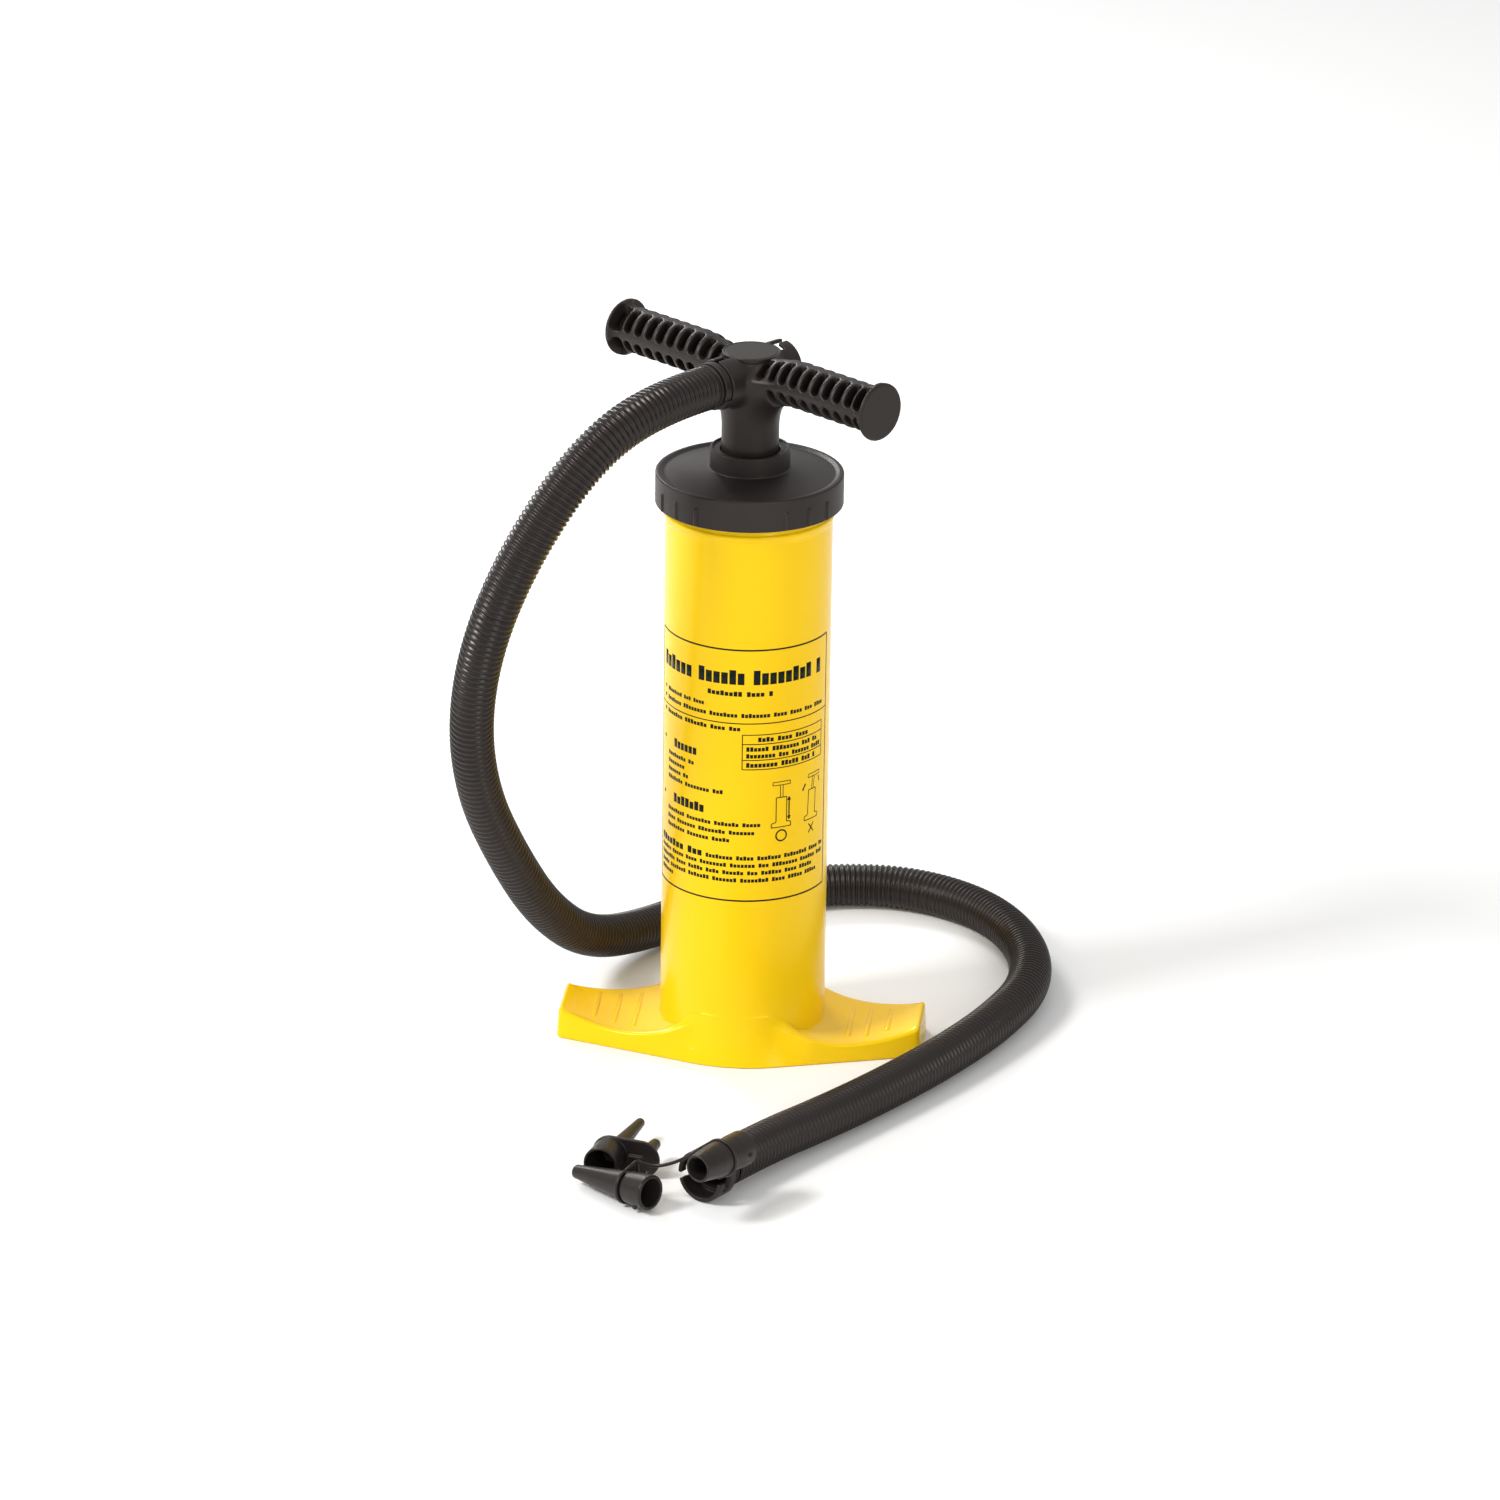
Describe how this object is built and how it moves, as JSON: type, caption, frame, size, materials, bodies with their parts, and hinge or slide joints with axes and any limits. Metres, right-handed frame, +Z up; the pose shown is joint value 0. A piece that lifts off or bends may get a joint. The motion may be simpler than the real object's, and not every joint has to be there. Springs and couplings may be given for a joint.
{
  "type": "double action hand pump",
  "caption": "Upright double action air pump: barrel on a foot, screw cap, sliding and turning handle with two air ports, corrugated hose and push-on nozzles.",
  "frame": {"origin": "floor under the barrel axis", "axes": "+Z up along the barrel axis, foot wings along X"},
  "size_m": [0.3698, 0.5386, 0.4677],
  "materials": {
    "yellow_plastic": "glossy moulded",
    "black_plastic": "satin moulded",
    "nozzle_plastic": "soft gloss moulded",
    "black_hose": "satin corrugated",
    "grey_plastic": "plain moulded",
    "seal_rubber": "moulded rubber",
    "steel": "zinc plated"
  },
  "bodies": {
    "barrel": {"barrel_moulding": "yellow_plastic", "screw_cap": "black_plastic", "cap_gasket": "seal_rubber", "rod_bush": "grey_plastic", "rod_seal": "seal_rubber", "seal_retainer": "grey_plastic", "hose": "black_hose", "hose_cuff": "black_plastic", "wide_nozzle": "nozzle_plastic", "long_nozzle": "nozzle_plastic", "twin_nozzle": "nozzle_plastic", "tether_strap": "black_hose", "long_nozzle_loop": "black_hose", "wide_nozzle_loop": "black_hose"},
    "piston_rings": {"piston_ring_lower": "seal_rubber", "piston_ring_upper": "seal_rubber"},
    "rod": {"piston_lower": "grey_plastic", "piston_upper": "grey_plastic", "piston_screws": "steel", "rod_tube": "grey_plastic", "inner_tube": "grey_plastic", "rod_foot_plug": "grey_plastic", "bump_stop": "seal_rubber", "handle": "black_plastic", "hub_cover": "black_plastic", "valve_plate": "grey_plastic", "hose_connector": "black_plastic", "connector_oring": "seal_rubber"},
    "outlet_valve_down_stroke_disc": {"outlet_valve_down_stroke": "seal_rubber"},
    "outlet_valve_up_stroke_disc": {"outlet_valve_up_stroke": "seal_rubber"},
    "inlet_valve_down_stroke_disc": {"inlet_valve_down_stroke": "seal_rubber"},
    "inlet_valve_up_stroke_disc": {"inlet_valve_up_stroke": "seal_rubber"}
  },
  "joints": [
    {"name": "pump_stroke", "type": "slide", "parent": "barrel", "child": "piston_rings", "axis": [0, 0, 1], "range_m": [0, 0.27], "deforming": ["hose"]},
    {"name": "handle_turn", "type": "hinge", "parent": "piston_rings", "child": "rod", "pos_m": [0, 0, 0.4], "axis": [0, 0, 1], "range_deg": [-45, 45]},
    {"name": "outlet_valve_down_stroke_lift", "type": "slide", "parent": "rod", "child": "outlet_valve_down_stroke_disc", "axis": [0, 0, 1], "range_m": [0, 0.0015], "stiffness_N_per_m": 20},
    {"name": "outlet_valve_up_stroke_lift", "type": "slide", "parent": "rod", "child": "outlet_valve_up_stroke_disc", "axis": [0, 0, 1], "range_m": [0, 0.0015], "stiffness_N_per_m": 20},
    {"name": "inlet_valve_down_stroke_lift", "type": "slide", "parent": "rod", "child": "inlet_valve_down_stroke_disc", "axis": [0, 0, -1], "range_m": [0, 0.0015], "stiffness_N_per_m": 20},
    {"name": "inlet_valve_up_stroke_lift", "type": "slide", "parent": "rod", "child": "inlet_valve_up_stroke_disc", "axis": [0, 0, -1], "range_m": [0, 0.0015], "stiffness_N_per_m": 20}
  ]
}
